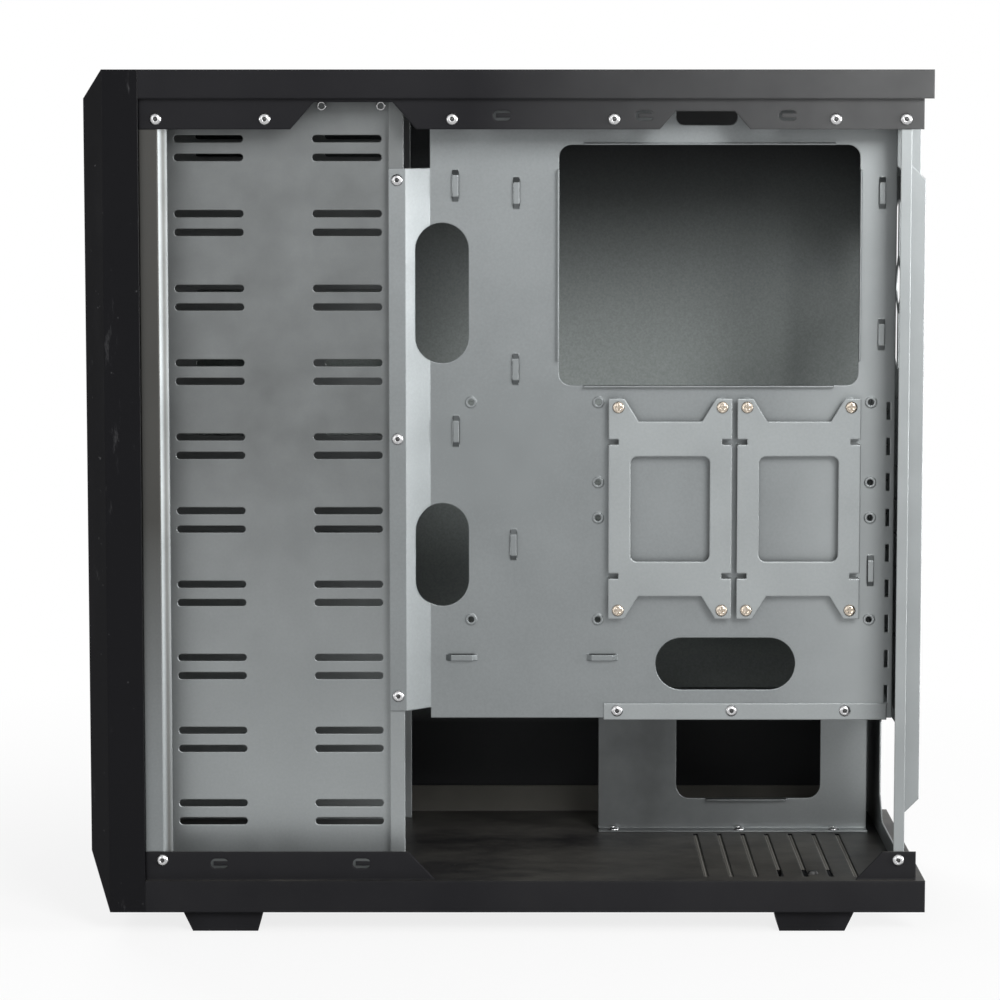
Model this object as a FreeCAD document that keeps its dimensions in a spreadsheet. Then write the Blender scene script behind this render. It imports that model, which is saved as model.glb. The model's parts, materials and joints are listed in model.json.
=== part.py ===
"""Mid tower PC case with its right side panel taken off, as a parametric document.

Frame: millimetres, +Z up, +X from the front bezel to the rear wall, and -Y towards the open right
side. The origin is the middle of the footprint at the level the feet stand on.
"""
import FreeCAD, Part
import os
import Sketcher
from FreeCAD import Placement, Rotation, Vector

# Driving dimensions, in millimetres, as (alias, value)
DIMENSIONS = [
    ("case_length", 472),
    ("case_width", 216),
    ("case_height", 486),
    ("gauge", 1.0),
    ("fit_gap", 0.3),
    # Base pan and roof: an outer band each, with a flange set in behind the side panel
    ("foot_height", 12),
    ("base_band", 18),
    ("base_upstand", 16),
    ("roof_band", 16),
    ("roof_drop", 17),
    ("flange_inset", 4),
    ("rail_end", 5),
    ("rail_cut_lean", 0.87),
    ("hook_length", 10),
    ("hook_height", 5.6),
    ("hook_slit", 1.6),
    # Front bezel
    ("bezel_depth", 31),
    ("bezel_wall", 2.5),
    ("bezel_nose", 11),
    ("bezel_side_slope", 9),
    ("bezel_top_slope", 16),
    ("bezel_bottom_slope", 34),
    ("bay_count", 10),
    ("bay_pitch", 42.1),
    ("bay_width", 149),
    ("bay_first", 63.4),
    ("bay_cover_gap", 0.4),
    ("bay_cover_depth", 9),
    # Front plate and its side posts
    ("post_flange", 9),
    ("post_bevel_x", 5.5),
    ("post_bevel_y", 5.5),
    # Drive walls
    ("drive_slot_length", 39),
    ("drive_slot_height", 4),
    ("drive_slot_gap", 10.5),
    ("drive_slot_front", -168.5),
    ("drive_slot_rear", -90.5),
    # Motherboard tray
    ("tray_face", 69),
    ("tray_bottom", 117),
    ("tray_rear", 220),
    ("tray_fold", -44),
    ("tray_hat", 13.5),
    ("hat_flat", 9.5),
    ("hat_bottom", 123),
    ("hat_top", 431),
    ("board_rear_column", 206.4),
    ("board_low_row", 173.9),
    ("board_hole", 3.5),
    ("board_collar", 6.4),
    ("board_collar_height", 0.7),
    ("window_front", 29),
    ("window_rear", 199),
    ("window_low", 308),
    ("window_high", 444),
    ("window_round", 7),
    ("window_lip", 4),
    ("notch_round", 4.5),
    ("oval_width", 30),
    ("oval_front", -37.2),
    ("tie_length", 16),
    ("tie_width", 3.4),
    ("tie_height", 3),
    # Drive brackets behind the tray
    ("bracket_width", 70),
    ("bracket_height", 126),
    ("bracket_lift", 6),
    ("bracket_ear", 9),
    ("bracket_ear_rise", 13),
    ("bracket_ear_slope", 8),
    ("bracket_screw_x", 59),
    ("bracket_screw_z", 116),
    ("bracket_front", 92.2),
    ("bracket_spacing", 73),
    ("bracket_middle", 238),
    ("bracket_window_width", 45),
    ("bracket_window_height", 60),
    ("bracket_window_round", 4),
    # Power supply divider
    ("supply_width", 150),
    ("divider_front", 55),
    ("divider_rear", 217),
    ("divider_flange", 8.5),
    ("divider_foot", 9),
    ("divider_window_round", 8),
    ("divider_lip", 5),
    # Rear wall
    ("rear_margin", 224.4),
    ("rear_step", 8.8),
    ("rear_flange", 6),
    ("slot_count", 8),
    ("slot_pitch", 20.32),
    ("slot_low", 141),
    ("slot_opening", 13),
    ("slot_length", 106),
    ("fan_size", 120),
    ("fan_screw", 4.5),
    # Air slots of the floor and the filter under them
    ("vent_count", 7),
    ("vent_pitch", 14.2),
    ("vent_front", 113),
    ("vent_width", 2.6),
    ("vent_length", 126),
    ("filter_margin", 13),
    ("filter_frame", 5),
    ("filter_height", 4),
    ("filter_mesh", 0.8),
    # Left side panel
    ("panel_gauge", 0.8),
    ("panel_hem", 2.4),
    # Feet
    ("foot_length", 46),
    ("foot_taper", 3.2),
    ("foot_outer_taper", 5.8),
    ("foot_width", 30),
    ("foot_front", -161.5),
    ("foot_rear", 174),
    ("foot_side", 6),
    # Switch block in the top of the bezel
    ("switch_block_width", 112),
    ("switch_block_depth", 13),
    ("switch_block_height", 12),
    ("power_button", 10),
    ("reset_button", 5),
    ("button_clearance", 0.4),
    # Fasteners
    ("rivet_head", 6.8),
    ("rivet_head_height", 1.6),
    ("rivet_shank", 3),
    ("hole_clearance", 0.4),
]


class Size:
    """A length that carries both its number and the sheet formula that it comes from."""

    def __init__(self, value, text):
        self.value = value
        self.text = text

    def joined(self, other, sign, value):
        return Size(value, "(" + self.text + sign + other.text + ")")

    def __add__(self, other):
        other = size(other)
        return self.joined(other, " + ", self.value + other.value)

    def __sub__(self, other):
        other = size(other)
        return self.joined(other, " - ", self.value - other.value)

    def __rsub__(self, other):
        return size(other) - self

    def __mul__(self, other):
        other = size(other)
        return self.joined(other, " * ", self.value * other.value)

    def __truediv__(self, other):
        other = size(other)
        return self.joined(other, " / ", self.value / other.value)

    def __neg__(self):
        return self * -1

    __radd__ = __add__
    __rmul__ = __mul__


def size(number):
    """A plain number as a Size; a Size stays as it is."""
    if isinstance(number, Size):
        return number
    return Size(float(number), "(" + repr(float(number)) + ")")


class Dims:
    """The driving dimensions by name, each bound to its cell of the sheet."""


doc = FreeCAD.newDocument("MidTowerCase")
sheet = doc.addObject("Spreadsheet::Sheet", "Dims")
for row, (alias, value) in enumerate(DIMENSIONS, start=1):
    sheet.set("A" + str(row), alias)
    sheet.set("B" + str(row), str(value))
    sheet.setAlias("B" + str(row), alias)
    setattr(Dims, alias, Size(float(value), "Dims." + alias))
doc.recompute()
D = Dims

# Sketch planes: the origin plane's role and the sense of its normal along the third axis
PLANES = {"XY": ("XY_Plane", 1), "XZ": ("XZ_Plane", -1), "YZ": ("YZ_Plane", 1)}
VERTICAL = Vector(0, 0, 1)
DEPTH = Vector(0, 1, 0)
pieces = []


def new_body(label):
    """An empty body that will be written out under its label."""
    body = doc.addObject("PartDesign::Body", label)
    body.Label = label
    pieces.append(body)
    return body


def place(body, x=0, y=0, z=0):
    """Move a body that was drawn at the origin to its seat."""
    for axis, distance in zip("xyz", (x, y, z)):
        body.setExpression("Placement.Base." + axis, size(distance).text)


def new_sketch(body, plane, level):
    """An empty sketch parallel to an origin plane, at a level along that plane's own axis."""
    role, sense = PLANES[plane]
    sketch = body.newObject("Sketcher::SketchObject", body.Label + "_sketch")
    for feature in body.Origin.OriginFeatures:
        if feature.Role == role:
            sketch.AttachmentSupport = [(feature, "")]
    sketch.MapMode = "FlatFace"
    offset = size(level) * sense
    sketch.AttachmentOffset = Placement(Vector(0, 0, offset.value), Rotation())
    sketch.setExpression("AttachmentOffset.Base.z", offset.text)
    return sketch


def bind_point(sketch, geometry, vertex, point):
    """Hold one vertex of a sketch at its two bound coordinates."""
    for kind, coordinate in zip(("DistanceX", "DistanceY"), point):
        coordinate = size(coordinate)
        constraint = sketch.addConstraint(
            Sketcher.Constraint(kind, -1, 1, geometry, vertex, coordinate.value))
        sketch.setExpression("Constraints[" + str(constraint) + "]", coordinate.text)


def draw_outline(sketch, points):
    """Close a polygon through bound points."""
    spots = [Vector(size(x).value, size(y).value, 0) for x, y in points]
    first = sketch.GeometryCount
    for index, spot in enumerate(spots):
        sketch.addGeometry(Part.LineSegment(spot, spots[(index + 1) % len(spots)]))
    for index, point in enumerate(points):
        following = first + (index + 1) % len(points)
        sketch.addConstraint(Sketcher.Constraint("Coincident", first + index, 2, following, 1))
        bind_point(sketch, first + index, 1, point)


def draw_circle(sketch, centre, diameter):
    """A circle with a bound centre and diameter."""
    diameter = size(diameter)
    middle = Vector(size(centre[0]).value, size(centre[1]).value, 0)
    geometry = sketch.addGeometry(Part.Circle(middle, Vector(0, 0, 1), diameter.value / 2))
    bind_point(sketch, geometry, 3, centre)
    constraint = sketch.addConstraint(Sketcher.Constraint("Diameter", geometry, diameter.value))
    sketch.setExpression("Constraints[" + str(constraint) + "]", diameter.text)


def draw_slot(sketch, middle, length, height, upright=False):
    """A slot with round ends, given over its whole length, lying or upright."""
    half_run = (size(length) - height) / 2
    radius = size(height) / 2
    x, y = size(middle[0]), size(middle[1])
    ends = [(x, y - half_run), (x, y + half_run)] if upright else [(x - half_run, y), (x + half_run, y)]
    across = (radius, 0) if upright else (0, radius)
    spots = [Vector(size(u).value, size(v).value, 0) for u, v in ends]
    side = Vector(size(across[0]).value, size(across[1]).value, 0)
    forward = (spots[1] - spots[0]).normalize() * radius.value
    lines = [sketch.addGeometry(Part.LineSegment(spots[0] + side, spots[1] + side)),
             sketch.addGeometry(Part.LineSegment(spots[1] - side, spots[0] - side))]
    arcs = [sketch.addGeometry(Part.Arc(spots[1] + side, spots[1] + forward, spots[1] - side)),
            sketch.addGeometry(Part.Arc(spots[0] - side, spots[0] - forward, spots[0] + side))]
    for arc, end in zip(arcs, (ends[1], ends[0])):
        bind_point(sketch, arc, 3, end)
    for line, arc in ((0, 0), (1, 0), (1, 1), (0, 1)):
        tie_tangent(sketch, lines[line], arcs[arc])
    sketch.addConstraint(Sketcher.Constraint("Equal", arcs[0], arcs[1]))
    constraint = sketch.addConstraint(Sketcher.Constraint("Radius", arcs[0], radius.value))
    sketch.setExpression("Constraints[" + str(constraint) + "]", radius.text)


def tie_tangent(sketch, line, arc):
    """Join the ends of a line and an arc that lie together, tangent to each other."""
    for line_end in (1, 2):
        for arc_end in (1, 2):
            if sketch.getPoint(line, line_end).isEqual(sketch.getPoint(arc, arc_end), 1e-6):
                sketch.addConstraint(Sketcher.Constraint("Tangent", line, line_end, arc, arc_end))


def rectangle(low, high):
    """A rectangle to draw in a sketch, between two corners."""
    return lambda sketch: draw_outline(sketch, [low, (high[0], low[1]), high, (low[0], high[1])])


def outline(points):
    """A closed polygon to draw in a sketch."""
    return lambda sketch: draw_outline(sketch, points)


def circle(centre, diameter):
    """A circle to draw in a sketch."""
    return lambda sketch: draw_circle(sketch, centre, diameter)


def slot(middle, length, height, upright=False):
    """A slot with round ends to draw in a sketch."""
    return lambda sketch: draw_slot(sketch, middle, length, height, upright)


def add(body, plane, low, high, *shapes):
    """Material between two levels along a plane's own axis, from the shapes of one sketch."""
    sketch = new_sketch(body, plane, low)
    for shape in shapes:
        shape(sketch)
    feature = body.newObject("PartDesign::Pad", body.Label + "_pad")
    feature.Profile = sketch
    feature.Reversed = plane == "XZ"
    feature.setExpression("Length", (size(high) - low).text)
    doc.recompute()
    return feature


def take(body, plane, low, high, *shapes):
    """Cut away the shapes of one sketch between two levels, and make sure that it cuts."""
    before = body.Shape.Volume
    sketch = new_sketch(body, plane, low)
    for shape in shapes:
        shape(sketch)
    feature = body.newObject("PartDesign::Pocket", body.Label + "_cut")
    feature.Profile = sketch
    feature.Reversed = plane != "XZ"
    feature.setExpression("Length", (size(high) - low).text)
    doc.recompute()
    if body.Shape.Volume > before - 1e-6:
        raise RuntimeError(body.Label + ": a cut removes nothing")
    return feature


def repeat(body, feature, direction, pitch, count):
    """A row of copies of a feature; the count is a bound number too."""
    row = body.newObject("PartDesign::LinearPattern", body.Label + "_row")
    row.Originals = [feature]
    for axis in body.Origin.OriginFeatures:
        if axis.Role == direction:
            row.Direction = (axis, [""])
    row.Mode = "Spacing"
    row.setExpression("Offset", size(pitch).text)
    row.setExpression("Occurrences", size(count).text)
    body.Tip = row
    doc.recompute()
    return row


def round_edges(body, radius, direction, low, high):
    """Round the straight edges along a direction that lie inside a box."""
    names = []
    box = FreeCAD.BoundBox(*[size(v).value for v in low], *[size(v).value for v in high])
    for index, edge in enumerate(body.Shape.Edges, start=1):
        straight = len(edge.Vertexes) == 2 and edge.Curve.TypeId == "Part::GeomLine"
        if not straight or not box.isInside(edge.BoundBox):
            continue
        run = (edge.Vertexes[1].Point - edge.Vertexes[0].Point).normalize()
        if abs(run.dot(direction)) > 0.999:
            names.append("Edge" + str(index))
    before = body.Tip
    feature = body.newObject("PartDesign::Fillet", body.Label + "_round")
    feature.Base = (before, names)
    feature.setExpression("Radius", size(radius).text)
    doc.recompute()
    return feature


# Levels that several pieces share
FRONT = -D.case_length / 2
REAR = D.case_length / 2
SIDE = D.case_width / 2
CHASSIS_FRONT = FRONT + D.bezel_depth
FLOOR = D.foot_height + D.base_band
ROOF_LOW = D.case_height - D.roof_band
ROOF_UNDER = D.case_height - D.gauge
FLANGE = SIDE - D.flange_inset
INNER = FLANGE - D.gauge
UPSTAND_TOP = FLOOR + D.base_upstand
DROP_LOW = ROOF_LOW - D.roof_drop
DRIVE_WALL = D.bay_width / 2 + D.gauge
HAT_FLAT_Y = -(D.tray_face + D.tray_hat)
HAT_START = D.tray_fold - D.tray_hat
HAT_END = HAT_START - D.hat_flat
BAY_LOW = D.bay_first - D.bay_pitch / 2
BAY_HIGH = BAY_LOW + D.bay_pitch * D.bay_count
TRAY_OUT = -D.tray_face
TRAY_IN = TRAY_OUT + D.gauge
SUPPLY_FACE = -SIDE + D.gauge + D.supply_width

# Standard spacings of a full-size board's holes and of the rear openings
BOARD_COLUMNS = (0, 154.94, 227.33)
BOARD_ROWS = (0, 124.46, 281.94)
BOARD_EXTRA_ROWS = (58.42, 78.74)

# Rivets along the right rails, and along the tray post and the divider flange
ROOF_RIVETS = (-195.5, -135, -31, 59, 182, 221)
CORNER_RIVETS = (ROOF_RIVETS[0], ROOF_RIVETS[-1])
POST_RIVETS = (131.6, 278.6, 424.5)
DIVIDER_RIVETS = (62.6, 128.2, 193.1)
FOOT_FLANGE_SCREWS = (64.4, 140, 197)
ROOF_RIVET_Z = DROP_LOW + D.roof_drop / 3
BASE_RIVET_Z = FLOOR + D.base_upstand * 0.7
POST_RIVET_X = (HAT_START + HAT_END) / 2
DIVIDER_RIVET_Z = D.tray_bottom + D.divider_flange / 2
RIVET_HOLE = D.rivet_shank + D.hole_clearance
FOOT_Y = SIDE - D.foot_side - D.foot_width / 2
FOOT_FLANGE_Y = SUPPLY_FACE - D.divider_foot / 2
VENT_MIDDLE = SUPPLY_FACE - D.divider_foot - D.gauge * 4 - D.vent_length / 2

# Cut-aways of the right roof flange, as (front, rear, depth), and the gap in the right base upstand
ROOF_CUTS = ((-121.6, -50, 15), (83.4, 135.4, 10))
UPSTAND_GAP = (-40, 196)

# Panel hooks lanced in the roof flanges and the base upstands, along x
ROOF_HOOKS = (-3.2, 75.7, 155.2)
BASE_HOOKS = (-163.2, -82.7)
ROOF_HOOK_Z = DROP_LOW + D.roof_drop * 0.45
BASE_HOOK_Z = FLOOR + D.base_upstand * 0.58


def trapezoid(front, rear, edge, depth):
    """A cut-away that narrows from its open edge inwards."""
    front, rear = size(front), size(rear)
    slope = D.rail_cut_lean * depth
    return outline([(front, edge), (front + slope, edge + depth), (rear - slope, edge + depth), (rear, edge)])


def lance_hooks(body, places, level):
    """Panel hooks on both sides: a tongue that a slit frees on three sides."""
    half_run = D.hook_length / 2
    half_tongue = D.hook_height / 2 - D.hook_slit
    for y_low in (-FLANGE, INNER):
        take(body, "XZ", y_low - D.gauge, y_low + D.gauge * 2,
             *[slot((x, level), D.hook_length, D.hook_height) for x in places])
        add(body, "XZ", y_low, y_low + D.gauge,
            *[rectangle((size(x) - half_run + D.hook_slit, level - half_tongue),
                        (size(x) + half_run, level + half_tongue)) for x in places])


def base_pan():
    """The floor with its side bands folded down and the flanges that stand up inside the panels."""
    body = new_body("base_pan")
    low = D.foot_height
    add(body, "YZ", CHASSIS_FRONT, REAR, outline([
        (-SIDE, low), (-SIDE, FLOOR), (SIDE, FLOOR), (SIDE, low), (SIDE - D.gauge, low),
        (SIDE - D.gauge, FLOOR - D.gauge), (-SIDE + D.gauge, FLOOR - D.gauge), (-SIDE + D.gauge, low)]))
    end = REAR - D.rail_end
    root = FLOOR - D.gauge
    gap_front, gap_rear = UPSTAND_GAP
    add(body, "XZ", -FLANGE, -INNER,
        outline([(CHASSIS_FRONT, root), (CHASSIS_FRONT, UPSTAND_TOP),
                 (size(gap_front) - D.base_upstand, UPSTAND_TOP), (size(gap_front), root)]),
        outline([(size(gap_rear), root), (size(gap_rear) + D.base_upstand, UPSTAND_TOP),
                 (end, UPSTAND_TOP), (end, root)]))
    add(body, "XZ", INNER, FLANGE, rectangle((CHASSIS_FRONT, root), (end, UPSTAND_TOP)))
    holes = [circle((x, BASE_RIVET_Z), RIVET_HOLE) for x in CORNER_RIVETS]
    for level in (-FLANGE, INNER):
        take(body, "XZ", level - D.gauge, level + D.gauge * 2, *holes)
    lance_hooks(body, BASE_HOOKS, BASE_HOOK_Z)
    vents = take(body, "XY", root - D.gauge, FLOOR + D.gauge,
                 slot((D.vent_front, VENT_MIDDLE), D.vent_length, D.vent_width, upright=True))
    repeat(body, vents, "X_Axis", D.vent_pitch, D.vent_count)
    take(body, "XY", root - D.gauge, FLOOR + D.gauge,
         *[circle((x, y), RIVET_HOLE) for x in (D.foot_front, D.foot_rear) for y in (-FOOT_Y, FOOT_Y)],
         *[circle((x, FOOT_FLANGE_Y), RIVET_HOLE) for x in FOOT_FLANGE_SCREWS])


def dust_filter():
    """The framed filter under the floor's air slots, set back round the foot beside it."""
    body = new_body("dust_filter")
    top = FLOOR - D.gauge
    front = D.vent_front - D.filter_margin
    rear = D.vent_front + D.vent_pitch * (D.vent_count - 1) + D.filter_margin
    near = -INNER
    far = VENT_MIDDLE + D.vent_length / 2 + D.filter_margin / 2
    foot_far = -FOOT_Y + D.foot_width / 2
    foot_front, foot_rear = D.foot_rear - D.foot_length / 2, D.foot_rear + D.foot_length / 2

    def inset(border):
        return outline([
            (front + border, near + border), (foot_front - border, near + border),
            (foot_front - border, foot_far + border), (foot_rear + border, foot_far + border),
            (foot_rear + border, near + border), (rear - border, near + border),
            (rear - border, far - border), (front + border, far - border)])

    add(body, "XY", top - D.filter_height, top, inset(size(0)))
    take(body, "XY", top - D.filter_height - D.gauge, top - D.filter_mesh, inset(D.filter_frame))


def roof_panel():
    """The top sheet with its bands, stepped in to a flange that hangs down on each side."""
    body = new_body("roof_panel")
    top = D.case_height
    thin = D.gauge
    half = [(FLANGE, DROP_LOW), (FLANGE, ROOF_LOW), (SIDE, ROOF_LOW), (SIDE, top)]
    inside = [(SIDE - thin, ROOF_UNDER), (SIDE - thin, ROOF_LOW + thin), (INNER, ROOF_LOW + thin),
              (INNER, DROP_LOW)]
    section = half + [(-y, z) for y, z in reversed(half)]
    section += [(-y, z) for y, z in reversed(inside)] + inside
    add(body, "YZ", CHASSIS_FRONT, REAR, outline(section))
    low = DROP_LOW - thin
    for y_low in (-FLANGE - thin, INNER - thin):
        take(body, "XZ", y_low, y_low + thin * 3,
             rectangle((REAR - D.rail_end, low), (REAR + thin, ROOF_LOW)))
    take(body, "XZ", -FLANGE - thin, -INNER + thin,
         *[trapezoid(front, rear, low, thin + depth) for front, rear, depth in ROOF_CUTS])
    lance_hooks(body, ROOF_HOOKS, ROOF_HOOK_Z)
    take(body, "XZ", -FLANGE - thin, -INNER + thin,
         *[circle((x, ROOF_RIVET_Z), RIVET_HOLE) for x in ROOF_RIVETS])
    take(body, "XZ", INNER - thin, FLANGE + thin,
         *[circle((x, ROOF_RIVET_Z), RIVET_HOLE) for x in CORNER_RIVETS])


def front_plate():
    """The chassis front: a sheet with the drive opening, and a post folded back on each side."""
    body = new_body("front_plate")
    thin = D.gauge
    back = CHASSIS_FRONT + thin
    edge = back + D.post_flange
    half = [(edge + D.post_bevel_x, INNER - D.post_bevel_y), (edge, INNER), (CHASSIS_FRONT, INNER)]
    inside = [(back, INNER - thin), (edge - thin / 2, INNER - thin),
              (edge + D.post_bevel_x - thin, INNER - D.post_bevel_y)]
    section = half + [(x, -y) for x, y in reversed(half)]
    section += [(x, -y) for x, y in reversed(inside)] + inside
    add(body, "XY", FLOOR, ROOF_UNDER, outline(section))
    take(body, "YZ", CHASSIS_FRONT - thin, back + thin,
         rectangle((-D.bay_width / 2, BAY_LOW), (D.bay_width / 2, BAY_HIGH)))
    for y_low in (-INNER - thin, INNER - thin * 2):
        take(body, "XZ", y_low, y_low + thin * 3,
             *[circle((ROOF_RIVETS[0], z), RIVET_HOLE) for z in (BASE_RIVET_Z, ROOF_RIVET_Z)])


def drive_wall(label, hand):
    """One side of the drive cage: slot pairs for each bay and a rear strip stepped out to the tray's hat."""
    body = new_body(label)
    thin = D.gauge
    front = CHASSIS_FRONT + thin
    step = -HAT_FLAT_Y - thin
    section = [(front, DRIVE_WALL), (HAT_END, DRIVE_WALL), (HAT_END, step), (HAT_START - thin, step),
               (HAT_START - thin, step - thin), (HAT_END + thin, step - thin),
               (HAT_END + thin, DRIVE_WALL - thin), (front, DRIVE_WALL - thin)]
    add(body, "XY", FLOOR, ROOF_UNDER, outline([(x, y * hand) for x, y in section]))
    reach = thin * 3
    wall_low = DRIVE_WALL * hand - reach / 2
    rows = [D.bay_first - D.drive_slot_gap / 2, D.bay_first + D.drive_slot_gap / 2]
    slots = take(body, "XZ", wall_low, wall_low + reach,
                 *[slot((x, z), D.drive_slot_length, D.drive_slot_height)
                   for x in (D.drive_slot_front, D.drive_slot_rear) for z in rows])
    repeat(body, slots, "Z_Axis", D.bay_pitch, D.bay_count)
    step_low = step * hand - reach / 2
    take(body, "XZ", step_low, step_low + reach,
         *[circle((POST_RIVET_X, z), RIVET_HOLE) for z in POST_RIVETS])


# Cable tie bridges on the tray, as (x, z); the upright ones first
UPRIGHT_TIES = ((-29.6, 421), (4.9, 416.9), (4.4, 317.2), (-29.4, 281.9), (3.3, 216.9),
                (211.6, 416.9), (211.8, 336.9), (207, 202))
LYING_TIES = ((-26.3, 152), (54, 152))
# Oval cable openings, as (middle, height) of the two upright ones and (x, z, length) of the lying one
UPRIGHT_OVALS = ((360.4, 79.4), (211.2, 59))
LYING_OVAL = (124.5, 148.3, 80)
# Notch in the top edge of the tray behind the roof's second cut-away
TOP_NOTCH = (95, 129.5)
TOP_NOTCH_LOW = 455.2
# Small slits beside the expansion slots
SLIT_X = 216.5
SLIT_WIDTH = 2
SLIT_HEIGHT = 10
BOSS_DIAMETER = 9
SCREW_HOLE = 3.4
BRACKET_X = [D.bracket_front + D.bracket_spacing * index for index in range(2)]


def bracket_screws():
    """The places of the eight bracket screws."""
    return [(x + D.bracket_screw_x * u, D.bracket_middle + D.bracket_screw_z * v)
            for x in BRACKET_X for u in (-0.5, 0.5) for v in (-0.5, 0.5)]


def tie_bridge(body, x, z, upright):
    """A cable tie bridge: a window lanced in the sheet with a strap raised over it."""
    x, z = size(x), size(z)
    half_run = D.tie_length / 2
    half_width = D.tie_width / 2
    reach_x, reach_z = (half_width, half_run) if upright else (half_run, half_width)
    take(body, "XZ", TRAY_OUT - D.gauge, TRAY_IN + D.gauge,
         rectangle((x - reach_x, z - reach_z), (x + reach_x, z + reach_z)))
    along = z if upright else x
    top = TRAY_OUT - D.tie_height
    ends = [along - half_run - D.gauge, along + half_run + D.gauge]
    shoulders = [ends[0] + D.tie_height, ends[1] - D.tie_height]
    strap = [(TRAY_IN, ends[0]), (TRAY_OUT, ends[0]), (top, shoulders[0]), (top, shoulders[1]),
             (TRAY_OUT, ends[1]), (TRAY_IN, ends[1]), (TRAY_IN, ends[1] - D.gauge),
             (TRAY_OUT, ends[1] - D.gauge), (top + D.gauge, shoulders[1] - D.gauge),
             (top + D.gauge, shoulders[0] + D.gauge), (TRAY_OUT, ends[0] + D.gauge),
             (TRAY_IN, ends[0] + D.gauge)]
    if upright:
        add(body, "YZ", x - half_width, x + half_width, outline(strap))
    else:
        add(body, "XY", z - half_width, z + half_width, outline([(v, u) for u, v in strap]))


def motherboard_tray():
    """The sheet that carries the board, seen from its back, with the hat-shaped post at its front."""
    body = new_body("motherboard_tray")
    thin = D.gauge
    lean = thin * 0.4
    low, high = TRAY_OUT - D.tray_hat - thin, TRAY_IN + thin
    add(body, "XY", D.tray_bottom, ROOF_UNDER, outline([
        (D.tray_rear, TRAY_OUT), (D.tray_fold, TRAY_OUT), (HAT_START, HAT_FLAT_Y), (HAT_END, HAT_FLAT_Y),
        (HAT_END, HAT_FLAT_Y + thin), (HAT_START - lean, HAT_FLAT_Y + thin), (D.tray_fold - lean, TRAY_IN),
        (D.tray_rear, TRAY_IN)]))
    take(body, "XZ", low, high,
         rectangle((HAT_END - thin, D.hat_top), (D.tray_fold, D.case_height)),
         rectangle((HAT_END - thin, D.tray_bottom - thin), (D.tray_fold, D.hat_bottom)))
    take(body, "XZ", TRAY_OUT - thin, high,
         rectangle((D.window_front, D.window_low), (D.window_rear, D.window_high)),
         rectangle((size(TOP_NOTCH[0]), size(TOP_NOTCH_LOW)), (size(TOP_NOTCH[1]), D.case_height)))
    round_edges(body, D.window_round, DEPTH, (D.window_front - thin, TRAY_OUT - thin, D.window_low - thin),
                (D.window_rear + thin, high, D.window_high + thin))
    round_edges(body, D.notch_round, DEPTH, (TOP_NOTCH[0] - thin, TRAY_OUT - thin, TOP_NOTCH_LOW - thin),
                (TOP_NOTCH[1] + thin, high, TOP_NOTCH_LOW + thin))
    lip = D.window_round * 2
    add(body, "XZ", TRAY_OUT - D.window_lip, TRAY_IN,
        rectangle((D.window_front + lip, D.window_high), (D.window_rear - lip, D.window_high + thin)),
        rectangle((D.window_front + lip, D.window_low - thin), (D.window_rear - lip, D.window_low)),
        rectangle((D.window_front - thin, D.window_low + lip), (D.window_front, D.window_high - lip)),
        rectangle((D.window_rear, D.window_low + lip), (D.window_rear + thin, D.window_high - lip)))
    take(body, "XZ", low, high, slot(LYING_OVAL[:2], LYING_OVAL[2], D.oval_width),
         *[slot((D.oval_front, middle), height, D.oval_width, upright=True)
           for middle, height in UPRIGHT_OVALS])
    spread = [(x, z) for x in BOARD_COLUMNS for z in BOARD_ROWS]
    spread += [(x, z) for x in BOARD_COLUMNS[:2] for z in BOARD_EXTRA_ROWS]
    board = [(D.board_rear_column - x, D.board_low_row + z) for x, z in spread]
    add(body, "XZ", TRAY_OUT - D.board_collar_height, TRAY_OUT,
        *[circle(spot, D.board_collar) for spot in board])
    take(body, "XZ", TRAY_OUT - thin, high, *[circle(spot, D.board_hole) for spot in board],
         *[circle((x, DIVIDER_RIVET_Z), RIVET_HOLE) for x in DIVIDER_RIVETS])
    take(body, "XZ", HAT_FLAT_Y - thin, HAT_FLAT_Y + thin * 2,
         *[circle((POST_RIVET_X, z), RIVET_HOLE) for z in POST_RIVETS])
    slits = take(body, "XZ", TRAY_OUT - thin, high,
                 rectangle((SLIT_X - SLIT_WIDTH / 2, D.slot_low - D.slot_pitch / 2 - SLIT_HEIGHT / 2),
                           (SLIT_X + SLIT_WIDTH / 2, D.slot_low - D.slot_pitch / 2 + SLIT_HEIGHT / 2)))
    repeat(body, slits, "Z_Axis", D.slot_pitch, D.slot_count + 1)
    add(body, "XZ", TRAY_OUT - D.bracket_lift, TRAY_OUT,
        *[circle(spot, BOSS_DIAMETER) for spot in bracket_screws()])
    take(body, "XZ", TRAY_OUT - D.bracket_lift - thin, high,
         *[circle(spot, SCREW_HOLE) for spot in bracket_screws()])
    for x, z in UPRIGHT_TIES:
        tie_bridge(body, x, z, upright=True)
    for x, z in LYING_TIES:
        tie_bridge(body, x, z, upright=False)


# Screw notches of a drive bracket, which match a small drive's bottom holes
DRIVE_HOLES = (61.72, 76.6)
NOTCH_HEIGHT = 3


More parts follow.
